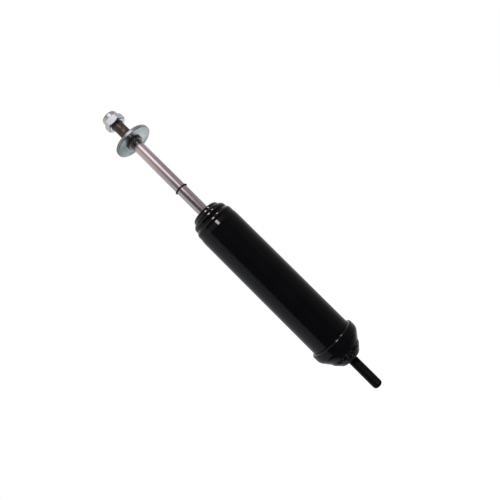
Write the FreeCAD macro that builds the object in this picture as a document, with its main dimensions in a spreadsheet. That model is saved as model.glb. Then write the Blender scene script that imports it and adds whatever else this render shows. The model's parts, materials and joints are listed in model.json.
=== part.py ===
"""Cab shock absorber: a twin-tube hydraulic damper with a threaded stud at each end.

The axis of the damper is Z, with the rod end up and the rod drawn right out. Z = 0 is the underside
of the stud retainer, where the lower stud comes out. Most pieces are turned or pressed round that axis,
so each is an outline of (radius, height) corners that is revolved, and then rounded, bored or slotted.
Threads are drawn plain, at the diameter of their crests.
"""
import FreeCAD
import Part
import Sketcher
import os
import re

# Driving dimensions in millimetres: name, value, what it measures.
SIZES = [
    ("fit", 0.05, "radial clearance of pieces that fit or run in each other"),
    ("seat_gap", 0.02, "clearance between faces that are pressed together"),
    # outer tube
    ("tube_diameter", 52.0, "outside of the reserve tube"),
    ("tube_wall", 2.0, "wall of the reserve tube"),
    ("tube_length", 201.4, "reserve tube, from its foot to the crown of its spun end"),
    ("neck_reduction", 0.7, "how far the neck of the tube is swaged in, on the radius"),
    ("neck_start", 15.0, "start of the swage, below the crown"),
    ("swage_length", 6.5, "length of the swage"),
    ("lip_round", 6.1, "outer radius of the spun shoulder"),
    # cap over the seal
    ("lip_depth", 8.0, "crown of the tube down to the flange of the cap"),
    ("cap_inset", 0.35, "bore of the neck in to the wall of the cap, on the radius"),
    ("cap_wall", 2.2, "sheet of the cap"),
    ("cap_flange", 2.5, "height of the flange that the spun lip holds down"),
    ("cap_tier", 15.4, "foot of the cap up to its lower shoulder"),
    ("cap_round", 6.0, "rounding of the lower shoulder"),
    ("cap_corner", 1.2, "bevel inside that shoulder"),
    ("top_tier_step", 4.45, "lower tier in to the upper tier, on the radius"),
    ("top_tier", 4.5, "height of the upper tier"),
    ("top_draft", 1.5, "how much narrower the upper tier is at its top, on the radius"),
    ("top_round", 3.0, "rounding of the upper tier"),
    ("mouth_diameter", 20.0, "hole in the top of the cap"),
    ("wiper_lip", 0.7, "wiper lip above the cap"),
    # cup, retainer and stud at the lower end
    ("retainer_height", 11.7, "height of the stud retainer"),
    ("retainer_diameter", 43.8, "top edge of the stud retainer"),
    ("retainer_band", 4.3, "height of the steep band round its top"),
    ("retainer_draft", 1.8, "draft of that band, on the radius"),
    ("retainer_foot", 26.0, "diameter of the flat underside"),
    ("retainer_round", 1.5, "rounding between cone and underside"),
    ("retainer_edge", 0.7, "broken top edge of the stud retainer"),
    ("cup_floor", 3.0, "floor of the base cup"),
    ("cup_base", 44.0, "diameter of the underside of the base cup"),
    ("cup_wall", 3.3, "skirt of the base cup"),
    ("cup_cone", 9.6, "height of the cone below the skirt"),
    ("cup_round", 9.0, "rounding between cone and skirt"),
    ("cup_ledge", 9.8, "underside of the cup up to the ledge under the tube"),
    ("cup_height", 20.0, "whole height of the base cup"),
    ("cup_well", 36.0, "diameter of the flat inside the floor"),
    ("rim_break", 2.4, "broken edge of the rim"),
    ("lower_stud_diameter", 12.0, "lower stud over its thread"),
    ("lower_stud_length", 43.1, "lower stud below the retainer"),
    ("lower_stud_round", 3.6, "rounding of its end"),
    ("stud_shank", 12.5, "plain shank inside the retainer"),
    ("stud_head", 28.0, "head of the stud, under the cup"),
    ("stud_head_height", 4.5, "thickness of that head"),
    # rod and its upper hardware
    ("rod_diameter", 14.0, "chromed rod"),
    ("rod_exposed", 115.7, "rod from the cap up to the washer collar"),
    ("collar_diameter", 20.4, "collar that carries the washer"),
    ("collar_height", 2.8, "height of that collar"),
    ("collar_groove", 0.6, "depth of its groove in the rod"),
    ("stud_diameter", 14.0, "upper stud over its thread"),
    ("stud_lead", 0.2, "how much smaller the tip of the stud is, on the radius"),
    ("stud_chamfer", 1.2, "chamfer on the tip of the stud"),
    ("stud_engagement", 13.5, "stud inside the nut"),
    ("washer_diameter", 47.4, "upper washer"),
    ("washer_thickness", 4.2, "thickness of that washer"),
    ("washer_play", 0.9, "play between washer and stud, on the radius"),
    ("washer_break", 0.5, "broken edge of the washer"),
    ("free_thread", 25.0, "stud between washer and nut"),
    ("nut_flats", 22.0, "lock nut across flats"),
    ("nut_hex_height", 9.0, "hexagon of the lock nut"),
    ("nut_height", 14.8, "whole height of the lock nut"),
    ("nut_chamfer", 2.4, "chamfer on the corners of the hexagon"),
    ("nut_play", 0.1, "nut round the crests of the thread, on the radius"),
    ("insert_wall", 2.0, "wall of the nylon ring"),
    ("insert_height", 3.4, "height of the nylon ring"),
    ("nut_lip", 1.0, "edge of the nut that is rolled over the nylon ring"),
    ("nut_collar_wall", 1.0, "wall of the nut round the nylon ring"),
    ("nut_collar_round", 1.8, "rounding of the top of the nut"),
    ("ring_section", 1.5, "section of the travel ring"),
    ("ring_height", 38.7, "travel ring above the cap, rod drawn out"),
    # guide and seal
    ("bore", 30.0, "bore of the pressure tube"),
    ("cylinder_wall", 1.5, "wall of the pressure tube"),
    ("guide_flange", 4.5, "flange of the rod guide"),
    ("guide_spigot", 8.0, "guide inside the pressure tube"),
    ("guide_ring_section", 1.8, "section of the static seal round the guide"),
    ("bush_wall", 1.2, "wall of the guide bush"),
    ("seal_diameter", 28.0, "rod seal"),
    ("seal_depth", 10.0, "height of the rod seal"),
    ("seal_washer_thickness", 1.7, "disc over the rod seal"),
    ("seal_washer_play", 0.6, "play of that disc round the rod, on the radius"),
    # buffer and piston
    ("stop_gap", 0.3, "buffer below the guide, rod drawn out"),
    ("stop_length", 8.0, "rubber buffer"),
    ("stop_wall", 5.5, "wall of the buffer"),
    ("stop_collar_height", 4.0, "ring that carries the buffer"),
    ("stop_collar_wall", 4.0, "wall of that ring"),
    ("shoulder_gap", 8.0, "ring down to the shoulder of the rod"),
    ("piston_stud", 10.0, "rod inside the piston"),
    ("piston_height", 12.0, "piston"),
    ("piston_play", 0.4, "piston in the bore, on the radius"),
    ("piston_hub", 14.0, "hub on top of the piston"),
    ("band_height", 6.0, "piston band"),
    ("band_thickness", 1.1, "thickness of the piston band"),
    ("intake_circle", 22.8, "circle of the outer ports"),
    ("intake_port", 2.4, "outer ports"),
    ("intake_ports", 6, "number of outer ports"),
    ("rebound_circle", 16.6, "circle of the inner ports"),
    ("rebound_port", 2.0, "inner ports"),
    ("rebound_ports", 6, "number of inner ports"),
    ("plate_thickness", 0.6, "check plates"),
    ("plate_land", 0.6, "overlap of a check plate round its ports"),
    ("valve_room", 3.4, "room over the piston for plate and spring"),
    ("intake_stop_thickness", 2.0, "disc under the shoulder of the rod"),
    ("star_thickness", 0.4, "star springs"),
    ("star_fingers", 6, "fingers of a star spring"),
    ("star_slot", 2.6, "slot between two fingers"),
    ("star_hub", 1.6, "whole ring inside the fingers"),
    ("disc_stack", 1.2, "stack of rebound discs"),
    ("disc_land", 0.8, "overlap of the discs round their ports"),
    ("spring_seat_flange", 2.0, "flange of the spring seat"),
    ("spring_length", 10.0, "valve spring between its seats"),
    ("spring_wire", 1.8, "wire of the valve spring"),
    ("spring_turns", 3, "turns of the valve spring"),
    ("nut_sleeve_wall", 1.5, "sleeve of the piston nut inside the spring"),
    ("piston_nut_flats", 17.0, "piston nut across flats"),
    ("piston_nut_height", 8.0, "hexagon of the piston nut"),
    ("piston_nut_flange", 2.0, "flange of the piston nut"),
    ("rod_overrun", 1.5, "end of the rod below the piston nut"),
    # foot valve
    ("valve_foot", 6.5, "legs of the foot valve"),
    ("valve_foot_wall", 2.9, "thickness of those legs"),
    ("valve_notch", 9.0, "gap between two legs"),
    ("valve_notches", 4, "number of gaps"),
    ("valve_plate", 5.0, "flange of the foot valve"),
    ("valve_spigot", 4.0, "foot valve inside the pressure tube"),
    ("valve_hub", 9.0, "hub on top of the foot valve"),
    ("valve_hub_height", 3.2, "height of that hub"),
    ("foot_circle", 23.2, "circle of the outer ports of the foot valve"),
    ("foot_port", 2.6, "those ports"),
    ("bleed_circle", 12.0, "circle of the inner ports of the foot valve"),
    ("bleed_port", 2.0, "those ports"),
    ("bleed_ports", 4, "number of inner ports"),
    ("foot_disc_stack", 1.0, "discs under the foot valve"),
    ("bolt_diameter", 5.0, "bolt through the foot valve"),
    ("bolt_head", 12.0, "head of that bolt"),
    ("bolt_head_height", 2.5, "height of that head"),
    ("bolt_clench", 10.0, "clenched end of that bolt"),
    ("bolt_clench_height", 1.5, "height of the clenched end"),
]

# Heights and radii that follow from the driving dimensions.
DERIVED = {
    "cup_top_of_floor": "retainer_height + cup_floor",
    "tube_foot": "retainer_height + cup_ledge",
    "cup_rim": "retainer_height + cup_height",
    "cup_corner": "retainer_height + cup_cone",
    "cup_radius": "tube_radius + fit + cup_wall",
    "tube_radius": "tube_diameter / 2",
    "neck_radius": "tube_radius - neck_reduction",
    "neck_bore": "neck_radius - tube_wall",
    "crown": "tube_foot + tube_length",
    "swage_foot": "crown - neck_start",
    "swage_top": "swage_foot + swage_length",
    "cap_radius": "neck_bore - cap_inset",
    "cap_bore": "cap_radius - cap_wall",
    "cap_foot": "crown - lip_depth",
    "cap_shoulder": "cap_foot + cap_tier",
    "cap_top": "cap_shoulder + top_tier",
    "top_radius": "cap_radius - top_tier_step",
    "mouth": "mouth_diameter / 2",
    "guide_top": "cap_foot - seat_gap",
    "cylinder_head": "guide_top - guide_flange",
    "guide_foot": "cylinder_head - guide_spigot",
    "hub_top": "seal_washer_foot - seat_gap",
    "seal_washer_top": "cap_shoulder - cap_wall - seat_gap",
    "seal_washer_foot": "seal_washer_top - seal_washer_thickness",
    "seal_floor": "hub_top - seal_depth",
    "bore_radius": "bore / 2",
    "cylinder_radius": "bore_radius + cylinder_wall",
    "cylinder_foot": "valve_deck + valve_plate + seat_gap",
    "rod": "rod_diameter / 2",
    "rod_fit": "rod + fit",
    "groove_root": "rod - collar_groove",
    "stud": "stud_diameter / 2",
    "stud_tip": "stud - stud_lead",
    "stop_top": "guide_foot - stop_gap",
    "stop_foot": "stop_top - stop_length",
    "stop_collar_foot": "stop_foot - stop_collar_height",
    "rod_shoulder": "stop_collar_foot - shoulder_gap",
    "intake_stop_foot": "rod_shoulder - seat_gap - intake_stop_thickness",
    "piston_top": "intake_stop_foot - valve_room",
    "piston_foot": "piston_top - piston_height",
    "piston_radius": "bore_radius - piston_play",
    "band_root": "bore_radius - fit - band_thickness",
    "band_middle": "piston_foot + piston_height / 2",
    "pin": "piston_stud / 2",
    "pin_fit": "pin + fit",
    "discs_top": "piston_foot - seat_gap",
    "discs_foot": "discs_top - disc_stack",
    "seat_top": "discs_foot - seat_gap",
    "spring_top": "seat_top - spring_seat_flange",
    "spring_foot": "spring_top - spring_length",
    "sleeve_radius": "pin_fit + nut_sleeve_wall",
    "spring_radius": "sleeve_radius + 2 * fit + spring_wire / 2",
    "spring_outside": "spring_radius + spring_wire / 2",
    "rebound_radius": "(rebound_circle + rebound_port) / 2 + disc_land",
    "piston_nut_foot": "spring_foot - piston_nut_flange - piston_nut_height",
    "rod_foot": "piston_nut_foot - rod_overrun",
    "plate_inner": "(intake_circle - intake_port) / 2 - plate_land",
    "plate_outer": "(intake_circle + intake_port) / 2 + plate_land",
    "plate_top": "piston_top + seat_gap + plate_thickness",
    "collar_foot": "cap_top + rod_exposed",
    "collar_top": "collar_foot + collar_height",
    "washer_foot": "collar_top + seat_gap",
    "washer_top": "washer_foot + washer_thickness",
    "washer_hole": "stud + washer_play",
    "nut_foot": "washer_top + free_thread",
    "stud_end": "nut_foot + stud_engagement",
    "hex_top": "nut_foot + nut_hex_height",
    "nut_top": "nut_foot + nut_height",
    "nut_bore": "stud + nut_play",
    "insert_radius": "nut_bore + insert_wall",
    "insert_top": "nut_top - nut_lip - fit",
    "insert_foot": "insert_top - insert_height",
    "nut_collar": "insert_radius + fit + nut_collar_wall",
    "shank": "stud_shank / 2",
    "head": "stud_head / 2",
    "head_foot": "retainer_height - seat_gap - stud_head_height",
    "valve_deck": "cup_top_of_floor + seat_gap + valve_foot",
    "valve_face": "valve_deck + valve_plate + valve_spigot",
    "hub_face": "valve_face + valve_hub_height",
    "bolt": "bolt_diameter / 2",
    "bolt_seat": "hub_face + star_thickness + 2 * seat_gap",
    "foot_discs_top": "valve_deck - seat_gap",
    "foot_discs_foot": "foot_discs_top - foot_disc_stack",
    "foot_plate_inner": "(foot_circle - foot_port) / 2 - plate_land",
    "foot_plate_outer": "(foot_circle + foot_port) / 2 + plate_land",
    "foot_plate_top": "valve_face + seat_gap + plate_thickness",
}

doc = FreeCAD.newDocument("cab_shock_absorber")
sheet = doc.addObject("Spreadsheet::Sheet", "Sizes")
for row, (alias, value, words) in enumerate(SIZES, start=1):
    sheet.set(f"A{row}", words)
    sheet.set(f"B{row}", str(value))
    sheet.setAlias(f"B{row}", alias)
doc.recompute()

DRIVING = {alias for alias, value, words in SIZES}
parts = []


def bound(text):
    """An expression on the cells of the sheet, from words such as 'rod + fit'."""

    def cell(match):
        word = match.group(0)
        if word in DRIVING:
            return f"Sizes.{word}"
        if word in DERIVED:
            return f"({bound(DERIVED[word])})"
        return word

    return re.sub(r"[a-z_]+", cell, text)


def measure(text):
    """The number that such an expression has now."""
    return float(sheet.evalExpression(bound(text)))


def new_body(label):
    body = doc.addObject("PartDesign::Body", label)
    body.Label = label
    parts.append(body)
    return body


def new_sketch(body, name, plane, height=None):
    """A sketch on one of the body's own planes, raised to a height if one is given."""
    sketch = body.newObject("Sketcher::SketchObject", f"{body.Label}_{name}")
    support = [face for face in body.Origin.OriginFeatures if face.Role == plane][0]
    sketch.AttachmentSupport = (support, [""])
    sketch.MapMode = "FlatFace"
    if height:
        sketch.setExpression("AttachmentOffset.Base.z", bound(height))
    return sketch


def hold(sketch, kind, geometry, point, text):
    """Ties one coordinate of a point of the sketch to the sheet."""
    index = sketch.addConstraint(Sketcher.Constraint(kind, geometry, point, measure(text)))
    sketch.setExpression(f"Constraints[{index}]", bound(text))


def outline(sketch, corners):
    """A closed outline of straight lines through corners, each given as two expressions."""
    points = [FreeCAD.Vector(measure(x), measure(y), 0) for x, y in corners]
    count = len(points)
    for i in range(count):
        sketch.addGeometry(Part.LineSegment(points[i], points[(i + 1) % count]), False)
    for i in range(count):
        sketch.addConstraint(Sketcher.Constraint("Coincident", i, 2, (i + 1) % count, 1))
    for i, (x, y) in enumerate(corners):
        hold(sketch, "DistanceX", i, 1, x)
        hold(sketch, "DistanceY", i, 1, y)


def turn(body, name, corners, kind="PartDesign::Revolution"):
    """Revolves an outline of (radius, height) corners round the axis, as solid or as cut."""
    sketch = new_sketch(body, f"{name}_outline", "XZ_Plane")
    outline(sketch, corners)
    feature = body.newObject(kind, f"{body.Label}_{name}")
    feature.Profile = sketch
    feature.ReferenceAxis = (sketch, ["V_Axis"])
    feature.Angle = 360
    doc.recompute()
    return feature


def cut(body, name, corners):
    """A revolved cut."""
    before = body.Shape.Volume
    turn(body, name, corners, "PartDesign::Groove")
    if body.Shape.Volume >= before:
        raise ValueError(f"{body.Label}: the cut {name} takes nothing away")


def ring(label, inner, outer, foot, top):
    """A plain ring: two radii and two heights."""
    body = new_body(label)
    turn(body, "ring", [(inner, foot), (outer, foot), (outer, top), (inner, top)])
    return body


def circle_edges(body, radius, height):
    """Names of the circular edges round the axis with this radius, at this height."""
    names = []
    for i, edge in enumerate(body.Shape.Edges, start=1):
        curve = edge.Curve
        if not isinstance(curve, Part.Circle):
            continue
        centre = curve.Center
        on_axis = abs(centre.x) + abs(centre.y) < 1e-4
        if on_axis and abs(centre.z - measure(height)) < 1e-4 and abs(curve.Radius - measure(radius)) < 1e-4:
            names.append(f"Edge{i}")
    if not names:
        raise ValueError(f"{body.Label}: no edge of radius {radius} at {height}")
    return names


def round_off(body, name, size, edges, kind="PartDesign::Fillet"):
    """Rounds or chamfers circular edges, each given as (radius, height)."""
    names = []
    for radius, height in edges:
        names += circle_edges(body, radius, height)
    base = body.Tip
    feature = body.newObject(kind, f"{body.Label}_{name}")
    feature.Base = (base, names)
    feature.setExpression("Radius" if kind.endswith("Fillet") else "Size", bound(size))
    doc.recompute()


def pocket_ring(body, name, sketch, count, depth):
    """Cuts a sketch down through the body and repeats the cut round the axis."""
    before = body.Shape.Volume
    pocket = body.newObject("PartDesign::Pocket", f"{body.Label}_{name}")
    pocket.Profile = sketch
    pocket.Type = "Length"
    pocket.setExpression("Length", bound(depth))
    doc.recompute()
    if body.Shape.Volume >= before:
        raise ValueError(f"{body.Label}: the pocket {name} takes nothing away")
    pattern = body.newObject("PartDesign::PolarPattern", f"{body.Label}_{name}_ring")
    pattern.Originals = [pocket]
    pattern.Axis = (sketch, ["N_Axis"])
    pattern.Angle = 360
    pattern.setExpression("Occurrences", bound(count))
    body.Tip = pattern
    doc.recompute()


def ports(body, name, circle, diameter, count, top, depth):
    """A ring of round ports, cut down from a face."""
    sketch = new_sketch(body, f"{name}_hole", "XY_Plane", top)
    centre = FreeCAD.Vector(measure(circle) / 2, 0, 0)
    sketch.addGeometry(Part.Circle(centre, FreeCAD.Vector(0, 0, 1), measure(diameter) / 2), False)
    hold(sketch, "DistanceX", 0, 3, f"{circle} / 2")
    sketch.addConstraint(Sketcher.Constraint("PointOnObject", 0, 3, -1))
    index = sketch.addConstraint(Sketcher.Constraint("Diameter", 0, measure(diameter)))
    sketch.setExpression(f"Constraints[{index}]", bound(diameter))
    pocket_ring(body, name, sketch, count, depth)


def slots(body, name, inner, outer, width, count, top, depth):
    """A ring of straight slots from an inner radius out through the edge."""
    sketch = new_sketch(body, f"{name}_shape", "XY_Plane", top)
    half = f"{width} / 2"
    outline(sketch, [(inner, f"-{half}"), (outer, f"-{half}"), (outer, half), (inner, half)])
    pocket_ring(body, name, sketch, count, depth)


def hexagon(body, name, flats, foot, height):
    """A hexagonal prism with two of its corners on the X axis."""
    sketch = new_sketch(body, f"{name}_shape", "XY_Plane", foot)
    corner = f"{flats} / 2 / cos(30)"
    outline(sketch, [(f"{corner} * cos({60 * i})", f"{corner} * sin({60 * i})") for i in range(6)])
    pad = body.newObject("PartDesign::Pad", f"{body.Label}_{name}")
    pad.Profile = sketch
    pad.setExpression("Length", bound(height))
    doc.recompute()


def chamfer_corners(body, flats, size, foot, top):
    """Turns the corners of a hexagon off at both ends, at about 30 degrees."""
    corner = f"{flats} / 2 / cos(30)"
    beyond = f"{corner} + {size}"
    start = f"{corner} - {size}"
    drop = f"{size} * 2 * tan(30)"
    cut(body, "lower_chamfer", [(start, foot), (beyond, foot), (beyond, f"{foot} + {drop}")])
    cut(body, "upper_chamfer", [(start, top), (beyond, top), (beyond, f"{top} - ({drop})")])


def star_spring(label, hole, hub, reach, foot, top):
    """A coned spring disc, slotted into fingers that press down on a plate."""
    body = new_body(label)
    turn(body, "cone", [
        (hole, f"{top} - star_thickness"),
        (f"{hub}", f"{top} - star_thickness"),
        (reach, foot),
        (reach, f"{foot} + star_thickness"),
        (f"{hub}", top),
        (hole, top),
    ])
    slots(body, "slot", f"{hub} + star_thickness", f"{reach} + 1", "star_slot", "star_fingers",
          f"{top} + 1", f"{top} - ({foot}) + 2")


def make_reserve_tube():
    body = new_body("reserve_tube")
    turn(body, "wall", [
        ("tube_radius - tube_wall", "tube_foot + seat_gap"),
        ("tube_radius", "tube_foot + seat_gap"),
        ("tube_radius", "swage_foot"),
        ("neck_radius", "swage_top"),
        ("neck_radius", "crown"),
        ("neck_bore / 2", "crown"),
        ("neck_bore / 2", "crown - tube_wall"),
        ("neck_bore", "crown - tube_wall"),
        ("neck_bore", "swage_top"),
        ("tube_radius - tube_wall", "swage_foot"),
    ])
    round_off(body, "spun_shoulder", "lip_round", [("neck_radius", "crown")])
    round_off(body, "inner_shoulder", "lip_round - tube_wall", [("neck_bore", "crown - tube_wall")])
    mouth = "cap_radius + fit"
    cut(body, "mouth", [
        ("neck_bore / 3", "crown - tube_wall - 1"),
        (mouth, "crown - tube_wall - lip_round"),
        (mouth, "crown + 1"),
        ("neck_bore / 3", "crown + 1"),
    ])


def make_seal_cap():
    body = new_body("seal_cap")
    inner_shoulder = "cap_shoulder - cap_wall"
    turn(body, "lower_tier", [
        ("mouth", "cap_foot"),
        ("neck_bore - fit", "cap_foot"),
        ("neck_bore - fit", "cap_foot + cap_flange"),
        ("cap_radius", "cap_foot + cap_flange"),
        ("cap_radius", "cap_shoulder"),
        ("mouth", "cap_shoulder"),
    ])
    round_off(body, "lower_round", "cap_round", [("cap_radius", "cap_shoulder")])
    turn(body, "upper_tier", [
        ("mouth", inner_shoulder),
        ("top_radius", inner_shoulder),
        ("top_radius", "cap_shoulder"),
        ("top_radius - top_draft", "cap_top"),
        ("mouth", "cap_top"),
    ])
    round_off(body, "upper_round", "top_round", [("top_radius - top_draft", "cap_top")])
    cut(body, "inside", [
        ("mouth / 2", "cap_foot - 1"),
        ("cap_bore", "cap_foot - 1"),
        ("cap_bore", f"{inner_shoulder} - cap_corner"),
        ("cap_bore - cap_corner", inner_shoulder),
        ("top_radius - cap_wall", inner_shoulder),
        ("top_radius - cap_wall", "cap_top - cap_wall"),
        ("mouth / 2", "cap_top - cap_wall"),
    ])


def make_rod_wiper():
    body = new_body("rod_wiper")
    flange = "top_radius - cap_wall - fit"
    turn(body, "lip", [
        ("rod_fit", "seal_washer_top + seat_gap"),
        (flange, "seal_washer_top + seat_gap"),
        (flange, "cap_top - cap_wall - seat_gap"),
        ("mouth - fit", "cap_top - cap_wall - seat_gap"),
        ("mouth - fit", "cap_top - fit"),
        ("rod_fit + 1", "cap_top + wiper_lip"),
        ("rod_fit", "cap_top + wiper_lip"),
    ])


def make_seal_stack():
    ring("seal_washer", "rod + seal_washer_play", "cap_bore - cap_corner - fit", "seal_washer_foot",
         "seal_washer_top")
    body = new_body("rod_seal")
    lip = "seal_depth / 3"
    turn(body, "lip", [
        ("rod_fit", "seal_floor + seat_gap"),
        ("seal_diameter / 2", "seal_floor + seat_gap"),
        ("seal_diameter / 2", "hub_top - seat_gap"),
        (f"rod_fit + {lip}", "hub_top - seat_gap"),
        ("rod_fit + seal_washer_play", f"hub_top - seat_gap - {lip}"),
        ("rod_fit", f"hub_top - seat_gap - {lip}"),
    ])


def make_rod_guide():
    body = new_body("rod_guide")
    bush = "rod_fit + bush_wall + fit"
    spigot = "bore_radius - fit"
    flange = "neck_bore - fit"
    turn(body, "body", [
        (bush, "guide_foot"),
        (spigot, "guide_foot"),
        (spigot, "cylinder_head"),
        (flange, "cylinder_head"),
        (flange, "guide_top"),
        ("cap_bore - fit", "guide_top"),
        ("cap_bore - fit", "hub_top"),
        ("seal_diameter / 2 + fit", "hub_top"),
        ("seal_diameter / 2 + fit", "seal_floor"),
        (bush, "seal_floor"),
    ])
    half = "guide_ring_section / 2"
    middle = "guide_top - guide_flange / 2"
    root = f"{flange} - guide_ring_section"
    cut(body, "seal_groove", [
        (root, f"{middle} - {half} - fit"),
        (f"{flange} + 1", f"{middle} - {half} - fit"),
        (f"{flange} + 1", f"{middle} + {half} + fit"),
        (root, f"{middle} + {half} + fit"),
    ])
    ring("guide_bush", "rod_fit", "rod_fit + bush_wall", "guide_foot", "seal_floor - seat_gap")
    torus("guide_o_ring", f"{root} + {half} + fit", half, middle)


def torus(label, radius, section, height):
    """A rubber ring: radius of its middle line, radius of its section, height."""
    piece = doc.addObject("Part::Torus", label)
    piece.Label = label
    piece.setExpression("Radius1", bound(radius))
    piece.setExpression("Radius2", bound(section))
    piece.setExpression("Placement.Base.z", bound(height))
    parts.append(piece)
    doc.recompute()


def make_pressure_tube():
    ring("pressure_tube", "bore_radius", "cylinder_radius", "cylinder_foot", "cylinder_head - seat_gap")


def make_base_cup():
    body = new_body("base_cup")
    turn(body, "shell", [
        ("0", "retainer_height"),
        ("cup_base / 2", "retainer_height"),
        ("cup_radius", "cup_corner"),
        ("cup_radius", "cup_rim"),
        ("tube_radius + fit", "cup_rim"),
        ("tube_radius + fit", "tube_foot"),
        ("tube_radius - tube_wall", "tube_foot"),
        ("cup_well / 2", "cup_top_of_floor"),
        ("0", "cup_top_of_floor"),
    ])
    round_off(body, "corner", "cup_round", [("cup_radius", "cup_corner")])
    round_off(body, "rim", "rim_break", [("cup_radius", "cup_rim")])


def make_stud_retainer():
    body = new_body("stud_retainer")
    edge = "retainer_diameter / 2"
    band_foot = "retainer_height - retainer_band"
    turn(body, "dome", [
        ("shank + fit", "0"),
        ("retainer_foot / 2", "0"),
        (f"{edge} - retainer_draft", band_foot),
        (edge, "retainer_height - seat_gap"),
        ("head + fit", "retainer_height - seat_gap"),
        ("head + fit", "head_foot - seat_gap"),
        ("shank + fit", "head_foot - seat_gap"),
    ])
    round_off(body, "band", "retainer_band", [(f"{edge} - retainer_draft", band_foot)])
    round_off(body, "underside", "retainer_round", [("retainer_foot / 2", "0")])
    round_off(body, "edge", "retainer_edge", [(edge, "retainer_height - seat_gap")])


def make_lower_stud():
    body = new_body("lower_stud")
    thread = "lower_stud_diameter / 2"
    turn(body, "stud", [
        ("0", "-lower_stud_length"),
        (thread, "-lower_stud_length"),
        (thread, "0"),
        ("shank", "0"),
        ("shank", "head_foot"),
        ("head", "head_foot"),
        ("head", "head_foot + stud_head_height"),
        ("0", "head_foot + stud_head_height"),
    ])
    round_off(body, "end", "lower_stud_round", [(thread, "-lower_stud_length")])


def make_piston_rod():
    body = new_body("piston_rod")
    lead_foot = "nut_foot - washer_play / 3"
    turn(body, "rod", [
        ("0", "rod_foot"),
        ("pin", "rod_foot"),
        ("pin", "rod_shoulder"),
        ("rod", "rod_shoulder"),
        ("rod", "stop_collar_foot"),
        ("groove_root", "stop_collar_foot"),
        ("groove_root", "stop_foot"),
        ("rod", "stop_foot"),
        ("rod", "collar_foot"),
        ("groove_root", "collar_foot"),
        ("groove_root", "collar_top"),
        ("stud", "collar_top"),
        ("stud", lead_foot),
        ("stud_tip", lead_foot),
        ("stud_tip", "stud_end"),
        ("0", "stud_end"),
    ])
    round_off(body, "tip", "stud_chamfer", [("stud_tip", "stud_end")], "PartDesign::Chamfer")


def make_upper_hardware():
    ring("washer_collar", "groove_root + seat_gap", "collar_diameter / 2",
         "collar_foot + seat_gap", "collar_top - seat_gap")
    washer = ring("upper_washer", "washer_hole", "washer_diameter / 2", "washer_foot", "washer_top")
    round_off(washer, "edge", "washer_break",
              [("washer_diameter / 2", "washer_foot"), ("washer_diameter / 2", "washer_top")])
    torus("travel_ring", "rod_fit + ring_section / 2", "ring_section / 2", "cap_top + ring_height")


def make_lock_nut():
    body = new_body("lock_nut")
    hexagon(body, "hexagon", "nut_flats", "nut_foot", "nut_hex_height")
    chamfer_corners(body, "nut_flats", "nut_chamfer", "nut_foot", "hex_top")
    turn(body, "collar", [
        ("0", "hex_top - 1"),
        ("nut_collar", "hex_top - 1"),
        ("nut_collar", "nut_top"),
        ("0", "nut_top"),
    ])
    round_off(body, "crown", "nut_collar_round", [("nut_collar", "nut_top")])
    cut(body, "bore", [
        ("0", "nut_foot - 1"),
        ("nut_bore", "nut_foot - 1"),
        ("nut_bore", "insert_foot - fit"),
        ("insert_radius + fit", "insert_foot - fit"),
        ("insert_radius + fit", "insert_top + fit"),
        ("nut_bore + insert_wall / 2", "insert_top + fit"),
        ("nut_bore + insert_wall / 2", "nut_top + 1"),
        ("0", "nut_top + 1"),
    ])
    ring("nut_insert", "stud + fit", "insert_radius", "insert_foot", "insert_top")


def make_buffer():
    ring("rebound_stop", "rod_fit", "rod + stop_wall", "stop_foot + seat_gap", "stop_top")
    ring("stop_collar", "groove_root + seat_gap", "rod + stop_collar_wall",
         "stop_collar_foot + seat_gap", "stop_foot - seat_gap")


def make_piston():
    body = new_body("piston")
    turn(body, "body", [
        ("pin_fit", "piston_foot"),
        ("piston_radius", "piston_foot"),
        ("piston_radius", "band_middle - band_height / 2 - fit"),
        ("band_root - fit", "band_middle - band_height / 2 - fit"),
        ("band_root - fit", "band_middle + band_height / 2 + fit"),
        ("piston_radius", "band_middle + band_height / 2 + fit"),
        ("piston_radius", "piston_top"),
        ("piston_hub / 2", "piston_top"),
        ("piston_hub / 2", "intake_stop_foot - seat_gap"),
        ("pin_fit", "intake_stop_foot - seat_gap"),
    ])
    depth = "piston_height"
    ports(body, "intake_port", "intake_circle", "intake_port", "intake_ports", "piston_top", depth)
    ports(body, "rebound_port", "rebound_circle", "rebound_port", "rebound_ports", "piston_top", depth)
    ring("piston_band", "band_root", "bore_radius - fit",
         "band_middle - band_height / 2", "band_middle + band_height / 2")


def make_intake_valve():
    ring("intake_stop", "pin_fit", "plate_outer", "intake_stop_foot", "rod_shoulder - seat_gap")
    ring("intake_plate", "plate_inner", "plate_outer", "piston_top + seat_gap", "plate_top")
    star_spring("intake_spring", "piston_hub / 2 + fit", "piston_hub / 2 + star_hub",
                "plate_outer - plate_land", "plate_top + seat_gap", "intake_stop_foot - seat_gap")


def make_rebound_valve():
    ring("rebound_discs", "pin_fit", "rebound_radius", "discs_foot", "discs_top")
    body = new_body("spring_seat")
    skirt = "spring_outside + 1"
    turn(body, "seat", [
        ("sleeve_radius + fit", "spring_top"),
        ("spring_outside + fit", "spring_top"),
        ("spring_outside + fit", "spring_top - spring_wire / 2"),
        (skirt, "spring_top - spring_wire / 2"),
        (skirt, "seat_top"),
        ("sleeve_radius + fit", "seat_top"),
    ])
    coil_spring("valve_spring", "spring_radius", "spring_wire", "spring_foot", "spring_length",
                "spring_turns")
    make_piston_nut()


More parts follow.
